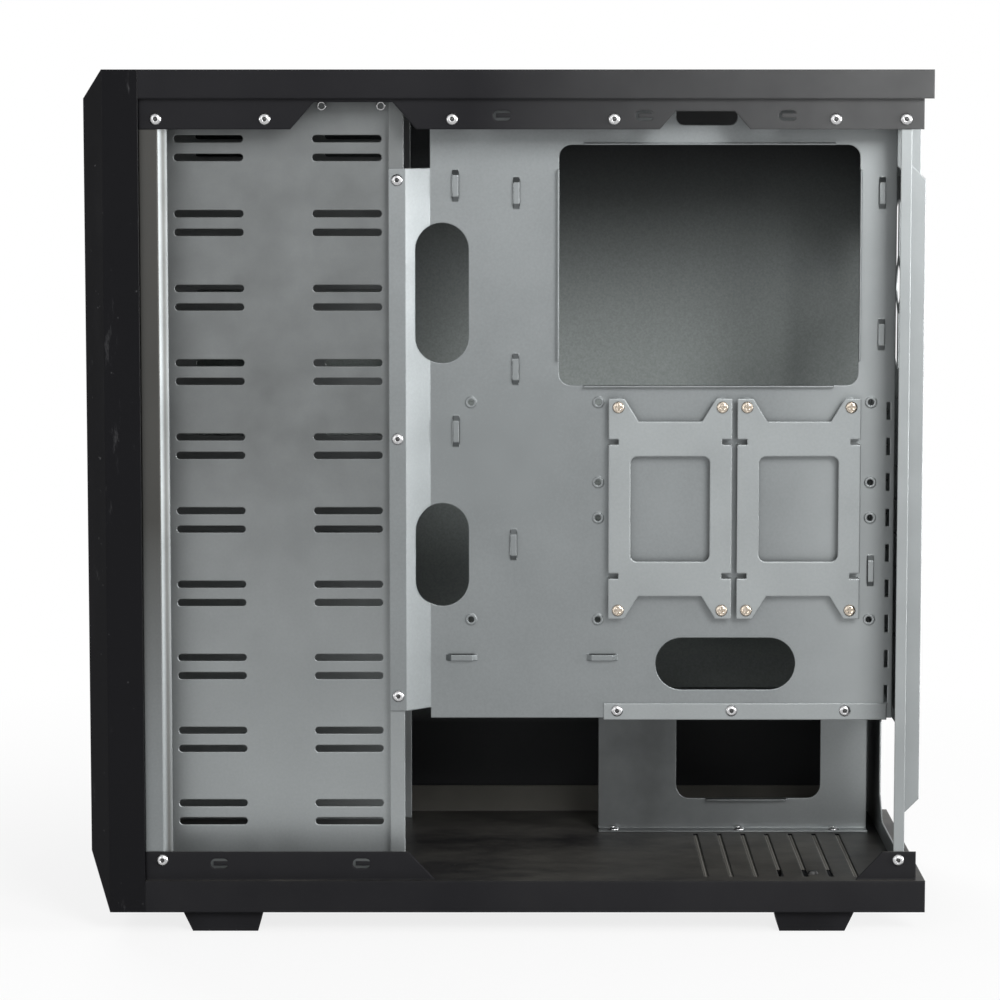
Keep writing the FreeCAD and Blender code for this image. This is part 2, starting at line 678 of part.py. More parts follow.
def drive_bracket(label, x):
    """A flat carrier on the back of the tray, with four ears, a window and side flanges."""
    body = new_body(label)
    thin = D.gauge
    half_width, half_height = D.bracket_width / 2, D.bracket_height / 2
    waist = half_height - D.bracket_ear_rise
    ear_tip = half_width - D.bracket_ear
    ear_root = ear_tip - D.bracket_ear_slope
    quarter = [(half_width, half_height), (ear_tip, half_height), (ear_root, waist)]
    top = quarter + [(-u, v) for u, v in reversed(quarter)]
    plate_back = -D.bracket_lift
    add(body, "XZ", plate_back - thin, plate_back, outline(top + [(u, -v) for u, v in reversed(top)]))
    add(body, "XZ", plate_back, -size(0),
        rectangle((-half_width, -waist), (-half_width + thin, waist)),
        rectangle((half_width - thin, -waist), (half_width, waist)))
    window_x, window_z = D.bracket_window_width / 2, D.bracket_window_height / 2
    take(body, "XZ", plate_back - thin * 2, plate_back + thin,
         rectangle((-window_x, -window_z), (window_x, window_z)),
         *[circle((D.bracket_screw_x * u, D.bracket_screw_z * v), SCREW_HOLE)
           for u in (-0.5, 0.5) for v in (-0.5, 0.5)])
    round_edges(body, D.bracket_window_round, DEPTH,
                (-window_x - thin, plate_back - thin * 2, -window_z - thin),
                (window_x + thin, thin, window_z + thin))
    notch_x, notch_z = (length / 2 for length in DRIVE_HOLES)
    notches = []
    for v in (-notch_z, notch_z):
        for hand in (-1, 1):
            notches.append(outline([((half_width + thin) * hand, v - NOTCH_HEIGHT / 2),
                                    ((half_width + thin) * hand, v + NOTCH_HEIGHT / 2),
                                    ((notch_x - NOTCH_HEIGHT / 2) * hand, v + NOTCH_HEIGHT / 2),
                                    ((notch_x - NOTCH_HEIGHT / 2) * hand, v - NOTCH_HEIGHT / 2)]))
    take(body, "XZ", plate_back - thin * 2, thin, *notches)
    place(body, x, TRAY_OUT, D.bracket_middle)


# Opening of the divider, as low and high corners in x and z, and the lip at its lower edge along x
DIVIDER_WINDOW = ((102, 49.3), (189, 109))
DIVIDER_LIP = (120, 168.5)


def supply_divider():
    """The folded wall beside the power supply: flange on the tray, shelf, wall and foot flange."""
    body = new_body("supply_divider")
    thin = D.gauge
    out, top = TRAY_OUT - thin, D.tray_bottom
    far = SUPPLY_FACE + thin
    toe = SUPPLY_FACE - D.divider_foot
    add(body, "YZ", D.divider_front, D.divider_rear, outline([
        (out, top + D.divider_flange), (out, top - thin), (SUPPLY_FACE, top - thin),
        (SUPPLY_FACE, FLOOR + thin), (toe, FLOOR + thin), (toe, FLOOR), (far, FLOOR), (far, top),
        (TRAY_OUT, top), (TRAY_OUT, top + D.divider_flange)]))
    take(body, "XZ", SUPPLY_FACE - thin, far + thin, rectangle(*DIVIDER_WINDOW))
    (x_low, z_low), (x_high, z_high) = DIVIDER_WINDOW
    round_edges(body, D.divider_window_round, DEPTH, (x_low - thin, SUPPLY_FACE - thin, z_low - thin),
                (x_high + thin, far + thin, z_high + thin))
    add(body, "XZ", SUPPLY_FACE - D.divider_lip, SUPPLY_FACE,
        rectangle((DIVIDER_LIP[0], z_low - thin), (DIVIDER_LIP[1], size(z_low))))
    take(body, "XZ", out - thin, TRAY_OUT + thin,
         *[circle((x, DIVIDER_RIVET_Z), RIVET_HOLE) for x in DIVIDER_RIVETS])
    take(body, "XY", FLOOR - thin, FLOOR + thin * 2,
         *[circle((x, FOOT_FLANGE_Y), RIVET_HOLE) for x in FOOT_FLANGE_SCREWS])


# Raised fields of the rear wall, as (y low, y high, z low, z high), and its openings in y and z
REAR_FIELDS = ((-95, 94, 118, 434), (-68, -15, 290, 467), (-95, -80, 66, 140))
BOARD_WINDOW = ((-63.7, 299), (-19.2, 457.8))
SUPPLY_WINDOW = ((-78, 40), (30, 112))
SUPPLY_CHAMFER = 14
FAN_MIDDLE = (38, 360)
FAN_HOLES = 105
FAN_RING = 12
FAN_BAR = 5
FAN_EDGE = 9
FAN_CORNER = (0.62, 0.8)
SLOT_FRONT = -59
THUMB_SCREWS = (110, 400)
THUMB_SCREW_Y = 99.6


def rear_wall():
    """The rear sheet, pushed out in fields, with the board, card, fan and power supply openings."""
    body = new_body("rear_wall")
    thin = D.gauge
    out = D.rear_margin
    add(body, "YZ", out - thin, out, rectangle((-INNER, FLOOR), (INNER, ROOF_UNDER)))
    for y_low, y_high in ((-INNER, -INNER + thin), (INNER - thin, INNER)):
        add(body, "XZ", y_low, y_high, rectangle((out - D.rear_flange, FLOOR), (out, ROOF_UNDER)))
    crest = out + D.rear_step
    for y_low, y_high, z_low, z_high in REAR_FIELDS:
        z_low, z_high = size(z_low), size(z_high)
        add(body, "XZ", y_low, y_high, outline([
            (out - thin, z_low), (out, z_low), (crest, z_low + D.rear_step), (crest, z_high - D.rear_step),
            (out, z_high), (out - thin, z_high)]))
    for y_low, y_high, z_low, z_high in REAR_FIELDS:
        z_low, z_high = size(z_low) + thin, size(z_high) - thin
        take(body, "XZ", size(y_low) + thin, size(y_high) - thin, outline([
            (out - thin * 2, z_low), (out - thin, z_low), (crest - thin, z_low + D.rear_step),
            (crest - thin, z_high - D.rear_step), (out - thin, z_high), (out - thin * 2, z_high)]))
    inner, outer = crest - thin * 2, crest + thin
    take(body, "YZ", inner, outer, rectangle(*BOARD_WINDOW))
    (y_low, z_low), (y_high, z_high) = SUPPLY_WINDOW
    cut = SUPPLY_CHAMFER
    take(body, "YZ", out - thin * 2, out + thin, outline([
        (y_low + cut, z_low), (y_high - cut, z_low), (y_high, z_low + cut), (y_high, z_high - cut),
        (y_high - cut, z_high), (y_low + cut, z_high), (y_low, z_high - cut), (y_low, z_low + cut)]))
    cards = take(body, "YZ", inner, outer,
                 rectangle((SLOT_FRONT, D.slot_low - D.slot_opening / 2),
                           (size(SLOT_FRONT) + D.slot_length, D.slot_low + D.slot_opening / 2)))
    repeat(body, cards, "Z_Axis", D.slot_pitch, D.slot_count)
    y, z = FAN_MIDDLE
    half = FAN_HOLES / 2
    take(body, "YZ", inner, outer, circle((y, z), FAN_RING * 2),
         *[circle((y + half * u, z + half * v), D.fan_screw) for u in (-1, 1) for v in (-1, 1)])
    bar = FAN_BAR / 2
    reach = D.fan_size / 2 - FAN_EDGE
    inside = FAN_RING + FAN_BAR
    short, long = (reach * share for share in FAN_CORNER)
    for hand_y in (-1, 1):
        for hand_z in (-1, 1):
            corner = [(bar, inside), (bar, reach), (short, long), (long, short), (reach, bar), (inside, bar)]
            take(body, "YZ", inner, outer, outline([(u * hand_y + y, v * hand_z + z) for u, v in corner]))
    holes = [circle((ROOF_RIVETS[-1], level), RIVET_HOLE) for level in (BASE_RIVET_Z, ROOF_RIVET_Z)]
    for y_low in (-INNER - thin, INNER - thin * 2):
        take(body, "XZ", y_low, y_low + thin * 3, *holes)
    take(body, "YZ", out - thin * 2, out + thin,
         *[circle((THUMB_SCREW_Y, level), RIVET_HOLE) for level in THUMB_SCREWS])


# Lap of a slot cover beyond its opening, and the length of its bent tab
SLOT_LAP = 4
SLOT_TAB = 11


def slot_cover(label, index):
    """A blank strip behind one card opening, bent over at its screw end."""
    body = new_body(label)
    thin = D.gauge
    half = D.slot_pitch / 2 - D.fit_gap * 2
    end = D.slot_length + SLOT_LAP
    add(body, "YZ", -thin, size(0), rectangle((-SLOT_LAP, -half), (end, half)))
    add(body, "XZ", end - thin, end, rectangle((-SLOT_TAB, -half), (size(0), half)))
    take(body, "XZ", end - thin * 2, end + thin, circle((-SLOT_TAB / 2, 0), RIVET_HOLE))
    place(body, D.rear_margin + D.rear_step - thin, SLOT_FRONT, D.slot_low + D.slot_pitch * index)


# Inner edge of the panel's rear flange
PANEL_FLANGE_Y = 94.6


def left_panel():
    """The left side panel, hemmed on three edges, with a flange over the rear wall."""
    body = new_body("left_panel")
    thin = D.panel_gauge
    front = CHASSIS_FRONT + D.fit_gap
    rear = D.rear_margin + thin
    low, high = FLOOR + D.fit_gap, ROOF_LOW - D.fit_gap
    add(body, "XZ", SIDE - thin, SIDE, rectangle((front, low), (rear, high)))
    hem = SIDE - D.panel_hem
    add(body, "XZ", hem, SIDE - thin, rectangle((front, low), (rear - thin, low + thin)),
        rectangle((front, high - thin), (rear - thin, high)),
        rectangle((front, low + thin), (front + thin, high - thin)))
    add(body, "XZ", size(PANEL_FLANGE_Y), SIDE - thin,
        rectangle((rear - thin, UPSTAND_TOP + thin), (rear, DROP_LOW - thin)))
    take(body, "YZ", rear - thin * 2, rear + thin,
         *[circle((THUMB_SCREW_Y, level), RIVET_HOLE) for level in THUMB_SCREWS])


# Middle of the switch block, from the flat top of the bezel
SWITCH_X = (FRONT + D.bezel_nose + CHASSIS_FRONT) / 2


def front_bezel():
    """The moulded front: sloped at its top, bottom and sides, hollow behind, open for the bay covers."""
    body = new_body("front_bezel")
    nose = FRONT + D.bezel_nose
    slim = SIDE - D.bezel_side_slope
    low, high = D.foot_height, D.case_height
    add(body, "XY", low, high, outline([
        (CHASSIS_FRONT, -SIDE), (nose, -SIDE), (FRONT, -slim), (FRONT, slim), (nose, SIDE),
        (CHASSIS_FRONT, SIDE)]))
    wall = D.bezel_wall
    beyond = FRONT - wall
    chin, brow = low + D.bezel_bottom_slope, high - D.bezel_top_slope
    take(body, "XZ", -SIDE - wall, SIDE + wall,
         outline([(beyond, brow), (FRONT, brow), (nose, high), (nose, high + wall), (beyond, high + wall)]),
         outline([(beyond, chin), (FRONT, chin), (nose, low), (nose, low - wall), (beyond, low - wall)]))
    take(body, "YZ", nose, CHASSIS_FRONT + wall,
         rectangle((-SIDE + wall, low + wall), (SIDE - wall, high - wall)))
    take(body, "YZ", FRONT + wall, nose + wall,
         rectangle((-slim + wall, chin), (slim - wall, brow - wall)))
    opening = D.bay_width / 2
    take(body, "YZ", FRONT - wall, nose + wall, rectangle((-opening, BAY_LOW), (opening, BAY_HIGH)))
    half_depth, half_width = D.switch_block_depth / 2, D.switch_block_width / 2
    take(body, "XY", high - wall * 2, high + wall,
         rectangle((SWITCH_X - half_depth - D.fit_gap, -half_width - D.fit_gap),
                   (SWITCH_X + half_depth + D.fit_gap, half_width + D.fit_gap)))


# Edge bevel of a bay cover, and the margin, width and places of its air slots
COVER_BEVEL = 3
COVER_MARGIN = 12
COVER_SLOT = 3
COVER_SLOTS = (-9, 0, 9)


def bay_cover(label, index):
    """A snap-in cover of one drive bay: a bevelled face with air slots, hollow behind."""
    body = new_body(label)
    half_width = D.bay_width / 2 - D.bay_cover_gap
    half_height = D.bay_pitch / 2 - D.bay_cover_gap
    wall = D.bezel_wall
    back = D.bay_cover_depth
    add(body, "XZ", -half_width, half_width, outline([
        (back, -half_height), (COVER_BEVEL, -half_height), (size(0), -half_height + COVER_BEVEL),
        (size(0), half_height - COVER_BEVEL), (COVER_BEVEL, half_height), (back, half_height)]))
    take(body, "YZ", wall, back + wall,
         rectangle((-half_width + wall, -half_height + wall), (half_width - wall, half_height - wall)))
    air = D.bay_width - COVER_MARGIN * 2
    take(body, "YZ", -wall, wall * 2,
         *[rectangle((-air / 2, z - COVER_SLOT / 2), (air / 2, z + COVER_SLOT / 2)) for z in COVER_SLOTS])
    place(body, FRONT + D.fit_gap, 0, D.bay_first + D.bay_pitch * index)


def foot(label, x, end, hand):
    """A moulded foot: tapered most towards its end of the case, with a stem up to the floor's underside."""
    body = new_body(label)
    half, half_width = D.foot_length / 2, D.foot_width / 2
    side = [(D.foot_taper - half, 0), (-half, D.foot_height), (half, D.foot_height),
            (half - D.foot_outer_taper, 0)]
    add(body, "XZ", -half_width, half_width, outline([(u * end, v) for u, v in side]))
    stem_x, stem_y = half - D.foot_outer_taper, half_width - D.foot_taper
    add(body, "XY", D.foot_height, FLOOR - D.gauge, rectangle((-stem_x, -stem_y), (stem_x, stem_y)))
    take(body, "XY", D.foot_height, FLOOR, circle((0, 0), RIVET_HOLE))
    place(body, x, FOOT_Y * hand, 0)


# Switch block: the places of its buttons, ports, jacks and lights along y
POWER_Y = 0
RESET_Y = 16
LIGHT_Y = (24, 29)
PORT_Y = (-20, -40)
JACK_Y = (38, 48)
PORT_SIZE = (5.6, 13.2)
PORT_DEPTH = 9
PORT_TONGUE = (1.8, 11)
PORT_SINK = 1
JACK_HOLE = 3.6
LIGHT_HOLE = 2.4
BLOCK_RECESS = 0.5


def switch_block():
    """The block under the bezel's top with two button bores, two port wells, two jacks and two lights."""
    body = new_body("switch_block")
    half_depth, half_width = D.switch_block_depth / 2, D.switch_block_width / 2
    top = D.case_height - BLOCK_RECESS
    low = top - D.switch_block_height
    lip = D.bezel_wall
    under = D.case_height - lip
    x_mid = size(SWITCH_X)
    add(body, "XY", low, top, rectangle((x_mid - half_depth, -half_width), (x_mid + half_depth, half_width)))
    add(body, "XY", under - lip, under, rectangle((x_mid - half_depth, -half_width - lip * 2),
                                                  (x_mid + half_depth, half_width + lip * 2)))
    take(body, "XY", low - lip, top + lip,
         circle((x_mid, POWER_Y), D.power_button + D.button_clearance * 2),
         circle((x_mid, RESET_Y), D.reset_button + D.button_clearance * 2),
         *[circle((x_mid, y), LIGHT_HOLE) for y in LIGHT_Y], *[circle((x_mid, y), JACK_HOLE) for y in JACK_Y])
    port_x, port_y = (length / 2 for length in PORT_SIZE)
    tongue_x, tongue_y = (length / 2 for length in PORT_TONGUE)
    take(body, "XY", top - PORT_DEPTH, top + lip,
         *[rectangle((x_mid - port_x, y - port_y), (x_mid + port_x, y + port_y)) for y in PORT_Y])
    add(body, "XY", top - PORT_DEPTH - lip / 2, top - PORT_SINK,
        *[rectangle((x_mid - tongue_x, y - tongue_y), (x_mid + tongue_x, y + tongue_y)) for y in PORT_Y])


# A button's set-back from the top, its stop collar, and the dish in its crown as a depth and a share
BUTTON_SET = 0.1
BUTTON_COLLAR = 2
BUTTON_RIM = 3.2
BUTTON_PLAY = 0.3
BUTTON_DISH = 0.5
DISH_SHARE = 0.7


def button(label, y, diameter):
    """A push button with a dished crown and a collar that stops it under the block."""
    body = new_body(label)
    top = D.case_height - BUTTON_SET
    low = D.case_height - BLOCK_RECESS - D.switch_block_height
    add(body, "XY", low, top, circle((0, 0), diameter))
    add(body, "XY", low - BUTTON_COLLAR, low - BUTTON_PLAY, circle((0, 0), diameter + BUTTON_RIM))
    add(body, "XY", low - BUTTON_PLAY, low, circle((0, 0), diameter))
    take(body, "XY", top - BUTTON_DISH, top + BUTTON_DISH, circle((0, 0), diameter * DISH_SHARE))
    place(body, SWITCH_X, y, 0)


def light_pipes():
    """The two clear lights of the switch block, as one group."""
    top = D.case_height - BLOCK_RECESS
    length = D.switch_block_height
    lights = []
    for y in LIGHT_Y:
        lights.append(pin("light_pipe", (SWITCH_X, y, top - length), VERTICAL, LIGHT_HOLE, length))
    group("light_pipes", lights)


def pin(label, base, direction, diameter, length):
    """A round pin from a bound base point along a direction."""
    item = doc.addObject("Part::Cylinder", label)
    item.setExpression("Radius", (size(diameter) / 2).text)
    item.setExpression("Height", size(length).text)
    seat(item, base, direction)
    return item


def seat(item, base, direction):
    """Put an item that was made along Z at a bound base point, turned to a direction."""
    item.Placement = Placement(Vector(*[size(value).value for value in base]), Rotation(VERTICAL, direction))
    for axis, distance in zip("xyz", base):
        item.setExpression("Placement.Base." + axis, size(distance).text)


# Width of a fastener's crown as a share of its head
HEAD_CROWN = 0.65


def fastener(label, base, outward, head, head_height, shank, length):
    """A rivet or screw: a tapered head on a sheet's face and a shank into it."""
    crown = doc.addObject("Part::Cone", label + "_head")
    crown.setExpression("Radius1", (size(head) / 2).text)
    crown.setExpression("Radius2", (size(head) * HEAD_CROWN / 2).text)
    crown.setExpression("Height", size(head_height).text)
    seat(crown, base, outward)
    stem = pin(label + "_shank", base, -outward, shank, length)
    whole = doc.addObject("Part::MultiFuse", label)
    whole.Shapes = [crown, stem]
    return whole


def group(label, items):
    """Like fasteners as one node."""
    compound = doc.addObject("Part::Compound", label)
    compound.Label = label
    compound.Links = items
    pieces.append(compound)


def rivet_group(label, places, outward, length):
    """Rivets of one kind on one face direction."""
    return [fastener(label, place_of, outward, D.rivet_head, D.rivet_head_height, D.rivet_shank, length)
            for place_of in places]


RIGHTWARD = Vector(0, -1, 0)
LEFTWARD = Vector(0, 1, 0)
REARWARD = Vector(1, 0, 0)
THUMB_HEAD = (9.6, 5)


def fasteners():
    """Every rivet and screw of the case, in groups."""
    two_sheets = D.gauge * 2
    right = [(x, -FLANGE, ROOF_RIVET_Z) for x in ROOF_RIVETS]
    right += [(x, -FLANGE, BASE_RIVET_Z) for x in CORNER_RIVETS]
    left = [(x, FLANGE, z) for x in CORNER_RIVETS for z in (ROOF_RIVET_Z, BASE_RIVET_Z)]
    group("rail_rivets", rivet_group("rail_rivet", right, RIGHTWARD, two_sheets)
          + rivet_group("rail_rivet", left, LEFTWARD, two_sheets))
    post = [(POST_RIVET_X, HAT_FLAT_Y, z) for z in POST_RIVETS]
    group("post_rivets", rivet_group("post_rivet", post, RIGHTWARD, two_sheets))
    divider = [(x, TRAY_OUT - D.gauge, DIVIDER_RIVET_Z) for x in DIVIDER_RIVETS]
    group("divider_rivets", rivet_group("divider_rivet", divider, RIGHTWARD, two_sheets))
    toes = [(x, FOOT_FLANGE_Y, FLOOR + D.gauge) for x in FOOT_FLANGE_SCREWS]
    group("divider_foot_screws", rivet_group("divider_foot_screw", toes, VERTICAL, two_sheets))
    feet = [(x, FOOT_Y * hand, FLOOR) for x in (D.foot_front, D.foot_rear) for hand in (-1, 1)]
    group("foot_screws", rivet_group("foot_screw", feet, VERTICAL, D.foot_height))
    ears = [(x, TRAY_OUT - D.bracket_lift - D.gauge, z) for x, z in bracket_screws()]
    group("bracket_screws", rivet_group("bracket_screw", ears, RIGHTWARD, D.bracket_lift))
    tab_x = D.rear_margin + D.rear_step - D.gauge - SLOT_TAB / 2
    tab_y = size(SLOT_FRONT) + D.slot_length + SLOT_LAP
    cards = [(tab_x, tab_y, D.slot_low + D.slot_pitch * index) for index in range(int(D.slot_count.value))]
    group("slot_screws", rivet_group("slot_screw", cards, LEFTWARD, two_sheets))
    head, head_height = THUMB_HEAD
    group("panel_thumbscrews", [
        fastener("panel_thumbscrew", (D.rear_margin + D.panel_gauge, THUMB_SCREW_Y, z), REARWARD,
                 head, head_height, D.rivet_shank, two_sheets) for z in THUMB_SCREWS])


def build():
    """Every piece of the case."""
    base_pan()
    dust_filter()
    roof_panel()
    front_plate()
    drive_wall("drive_wall_right", -1)
    drive_wall("drive_wall_left", 1)
    motherboard_tray()
    for name, x in zip(("drive_bracket_front", "drive_bracket_rear"), BRACKET_X):
        drive_bracket(name, x)
    supply_divider()
    rear_wall()
    for index in range(int(D.slot_count.value)):
        slot_cover("slot_cover_" + str(index + 1), index)
    left_panel()
    front_bezel()
    for index in range(int(D.bay_count.value)):
        bay_cover("bay_cover_" + str(index + 1), index)
    for name, x, end in (("front", D.foot_front, -1), ("rear", D.foot_rear, 1)):
        foot("foot_" + name + "_right", x, end, -1)
        foot("foot_" + name + "_left", x, end, 1)
    switch_block()
    button("power_button", POWER_Y, D.power_button)
    button("reset_button", RESET_Y, D.reset_button)
    light_pipes()
    fasteners()
    doc.recompute()


def check():
    """Stop before writing if any object of the document failed or any piece has no valid shape."""
    for item in doc.Objects:
        if "Invalid" in item.State or "Error" in item.State:
            raise RuntimeError(item.Name + " did not compute")
    for item in pieces:
        if item.Shape.isNull() or not item.Shape.isValid() or not item.Shape.Solids:
            raise RuntimeError(item.Label + " has no valid solid")


build()
check()
os.makedirs("parts", exist_ok=True)
for item in pieces:
    item.Shape.exportStep("parts/" + item.Label + ".step")
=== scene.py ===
"""The looks of the mid tower PC case: finishes, fastener heads, studio and camera.

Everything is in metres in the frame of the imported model: +Z up, +X from the front bezel to the rear
wall and -Y towards the open right side. Colours are linear, and a pair holds the darkest and the lightest.
"""
import json
import math

import bmesh
import bpy
from mathutils import Matrix, Vector


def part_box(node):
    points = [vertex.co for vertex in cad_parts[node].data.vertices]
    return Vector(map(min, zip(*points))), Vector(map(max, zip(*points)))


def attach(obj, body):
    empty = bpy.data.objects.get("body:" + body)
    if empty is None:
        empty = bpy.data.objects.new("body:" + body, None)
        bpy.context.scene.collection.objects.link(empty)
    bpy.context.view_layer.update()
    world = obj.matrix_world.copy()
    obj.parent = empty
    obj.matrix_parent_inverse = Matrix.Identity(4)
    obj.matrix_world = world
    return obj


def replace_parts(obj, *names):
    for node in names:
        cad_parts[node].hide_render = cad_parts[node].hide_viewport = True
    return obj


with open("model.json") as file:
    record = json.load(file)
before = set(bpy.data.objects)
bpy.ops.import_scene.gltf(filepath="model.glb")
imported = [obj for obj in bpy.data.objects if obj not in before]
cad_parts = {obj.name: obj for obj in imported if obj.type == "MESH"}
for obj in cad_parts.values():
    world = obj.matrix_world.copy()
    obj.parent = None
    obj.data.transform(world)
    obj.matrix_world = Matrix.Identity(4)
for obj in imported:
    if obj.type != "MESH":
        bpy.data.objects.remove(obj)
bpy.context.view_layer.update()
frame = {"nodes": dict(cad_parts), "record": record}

MM = 0.001
BODY = "chassis"
nodes = frame["nodes"]

# Colours of the sheet metal, with the painted shade that darkens it
ZINC = ((0.178, 0.191, 0.194), (0.214, 0.228, 0.232))
BRIGHT_ZINC = ((0.244, 0.260, 0.263), (0.280, 0.297, 0.300))
WALL_SHADE = (0.075, 0.078, 0.078)
DIVIDER_SHADE = (0.05, 0.052, 0.053)
POST_SHADE_COLOUR = (0.040, 0.038, 0.034)

# Colours of paint and mouldings, with dust, marks, painted light and painted reflections on them
BLACK = ((0.008, 0.008, 0.0095), (0.012, 0.012, 0.0135))
PANEL_GREY = ((0.20, 0.221, 0.214), (0.35, 0.380, 0.373))
GLOSS_BLACK = (0.005, 0.005, 0.006)
GLOSS_DUST_AND_REFLECTION = (0.07, 0.07, 0.073)
COVER_BLACK = (0.012, 0.012, 0.013)
SWITCH_BLACK = (0.016, 0.016, 0.017)
FOOT_BLACK = (0.007, 0.007, 0.008)
FILTER_BLACK = (0.010, 0.010, 0.010)
DUST_AND_PAINTED_LIGHT = (0.110, 0.106, 0.094)
FILTER_PALE_WEAVE = (0.34, 0.33, 0.30)
ROOF_PAINTED_LIGHT = (0.15, 0.152, 0.152)
SCUFF = (0.30, 0.30, 0.31)

# Colours of fasteners and lights
RIVET = ((0.44, 0.44, 0.45), (0.56, 0.56, 0.56))
DARK_STEEL = ((0.05, 0.05, 0.05), (0.09, 0.09, 0.09))
NICKEL = ((0.42, 0.36, 0.29), (0.54, 0.48, 0.41))
CLEAR = ((0.70, 0.74, 0.76), (0.80, 0.83, 0.85))

# How rough the paints are
PAINT_ROUGHNESS = 0.42
PANEL_ROUGHNESS = 0.5

# Radius of the edges in the shading, and the rays that find it
ZINC_EDGE = 0.9 * MM
BRACKET_EDGE = 1.2 * MM
PAINT_EDGE = 1.5 * MM
GLOSS_EDGE = 1.0 * MM
MATT_EDGE = 0.8 * MM
EDGE_SAMPLES = 6

# Width of the soft edge on the nodes of each finish
EDGE_SOFTNESS = {
    "zinc_sheet": 0.2 * MM,
    "bracket_sheet": 0.25 * MM,
    "black_paint": 0.3 * MM,
    "panel_paint": 0.2 * MM,
    "bezel_plastic": 0.8 * MM,
    "cover_plastic": 0.4 * MM,
    "switch_plastic": 0.2 * MM,
    "foot_plastic": 0.8 * MM,
    "bright_rivet": 0,
    "dark_screw": 0.2 * MM,
    "nickel_screw": 0,
    "clear_light": 0.2 * MM,
}
SOFT_SEGMENTS = 2
SOFT_ANGLE = math.radians(40)

# The front plate's bevel beside its flanges, and the heights, as shares of the plate, where the painted
# shade on its flanges sets in and where it is full
POST_BEVEL = 5 * MM
POST_SHADE_HEIGHTS = (0.12, 0.45)

# Threads of the dust filter in a metre
THREADS = 700

# Sizes of fasteners and of the two eyelets in the drive wall
HEAD_HEIGHT = 1.6 * MM
SHANK_RADIUS = 1.5 * MM
EYELETS = (-104.4 * MM, -71.2 * MM)
EYELET_LEVEL = 466 * MM
EYELET_RADIUS = 2.7 * MM
EYELET_HEIGHT = 0.9 * MM
HEAD_SEGMENTS = 28
PIN_SEGMENTS = 16

# Camera and studio
CAMERA_LENS = 136
CAMERA_SENSOR = 36
CAMERA_REACH = 50
CAMERA_PLACE = Vector((-0.0044, -2.209, 0.472))
CAMERA_AIM = Vector((-0.0044, -0.108, 0.2467))
LAMP_AIM = Vector((0, 0, 0.24))
WORLD_LIGHT = 0.30
FLOOR_SIZE = 60
FLOOR_NEAR = 0.30
FLOOR_FAR = 0.85
FLOOR_GLOW = 0.82
FLOOR_WHITE = (0.85, 0.85, 0.85, 1)

# Material tools

# Places of the colour sockets on Blender's Mix node
MIX_COLOURS = (6, 7)
MIX_RESULT = 2
# The range in which most of a noise's values lie
USUAL = (0.3, 0.7)


